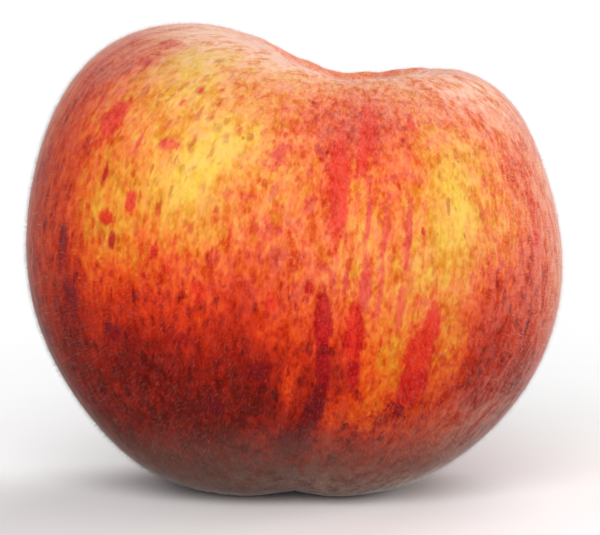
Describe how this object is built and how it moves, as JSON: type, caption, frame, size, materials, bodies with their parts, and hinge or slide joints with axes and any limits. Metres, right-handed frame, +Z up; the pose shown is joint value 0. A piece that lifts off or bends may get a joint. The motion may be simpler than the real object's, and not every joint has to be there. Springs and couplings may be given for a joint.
{
  "type": "nectarine",
  "caption": "Whole ripe stone fruit with a funnel-shaped stem cavity, a suture down its front, a blossom-end dimple and peach-like down, standing on a small flat spot.",
  "frame": {"origin": "on the plane of the flat spot that the fruit rests on, under the middle of its width and depth", "axes": "+Z up, roughly from the blossom end to the stem cavity, whose axis leans 8 degrees towards +X; +X from the lower, wider cheek to the other one; -Y the side with the suture"},
  "size_m": [0.0712, 0.0685, 0.0617],
  "materials": {
    "skin": "matt downy skin, yellow-orange ground under a crimson blush"
  },
  "bodies": {
    "root": {"fruit": "skin"}
  },
  "joints": []
}
